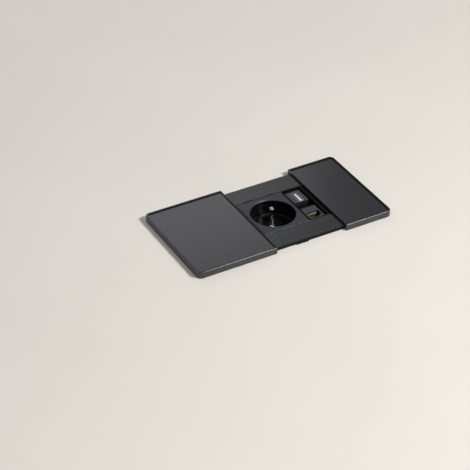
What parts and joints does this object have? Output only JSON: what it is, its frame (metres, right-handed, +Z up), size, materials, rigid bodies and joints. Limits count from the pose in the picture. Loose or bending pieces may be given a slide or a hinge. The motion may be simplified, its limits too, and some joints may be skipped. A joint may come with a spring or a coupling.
{
  "type": "in-desk power module",
  "caption": "Flush desk-top power module with sliding lids that part over a round mains socket with an earth pin, a USB port and a network port, above a closed housing.",
  "frame": {"origin": "centre of the base plate, on the desk's surface", "axes": "+X along the lids' slide towards the data module, +Y away from the user, +Z up out of the desk"},
  "size_m": [0.1906, 0.0978, 0.0543],
  "materials": {
    "lid_plastic": "fine satin",
    "base_plastic": "satin",
    "module_plastic": "satin",
    "well_plastic": "gloss",
    "carrier_plastic": "matte",
    "keystone_plastic": "satin",
    "core_plastic": "matte",
    "housing_plastic": "fine texture",
    "gland_plastic": "satin",
    "white_plastic": "gloss",
    "black_rubber": "matte",
    "brass": "bright",
    "gold_wire": "gold-plated",
    "nickel": "nickel-plated",
    "spring_steel": "bright",
    "zinc_steel": "zinc-plated"
  },
  "bodies": {
    "base": {"base_plate": "base_plastic", "flange_gasket": "black_rubber", "socket_faceplate": "module_plastic", "socket_well": "well_plastic", "well_screw": "zinc_steel", "earth_pin": "nickel", "shutter_spring": "spring_steel", "socket_core": "core_plastic", "socket_back_cover": "core_plastic", "neutral_contact": "brass", "live_contact": "brass", "earth_strap": "brass", "terminal_screws": "zinc_steel", "data_carrier": "carrier_plastic", "usb_keystone": "keystone_plastic", "usb_front_shell": "nickel", "usb_rear_shell": "nickel", "usb_front_tongue": "white_plastic", "usb_rear_tongue": "white_plastic", "usb_contacts": "brass", "rj45_keystone": "keystone_plastic", "rj45_contacts": "gold_wire", "rj45_rear_cap": "white_plastic", "lower_housing": "housing_plastic", "housing_screws": "zinc_steel", "gland_body": "gland_plastic", "gland_locknut": "gland_plastic", "gland_seal": "black_rubber", "gland_cap": "gland_plastic", "leaf_spring_far_left": "spring_steel", "leaf_spring_far_right": "spring_steel", "leaf_spring_near_left": "spring_steel", "leaf_spring_near_right": "spring_steel"},
    "left_lid": {"left_lid": "lid_plastic"},
    "right_lid": {"right_lid": "lid_plastic"},
    "shutter": {"safety_shutter": "white_plastic"}
  },
  "joints": [
    {"name": "left_lid_slide", "type": "slide", "parent": "base", "child": "left_lid", "axis": [1, 0, 0], "range_m": [0, 0.0467]},
    {"name": "right_lid_slide", "type": "slide", "parent": "base", "child": "right_lid", "axis": [-1, 0, 0], "range_m": [0, 0.0214]},
    {"name": "shutter_slide", "type": "slide", "parent": "base", "child": "shutter", "axis": [-0.4226, -0.9063, 0], "range_m": [0, 0.0062], "stiffness_N_per_m": 60, "springref_m": -0.01, "deforming": ["shutter_spring"]}
  ]
}
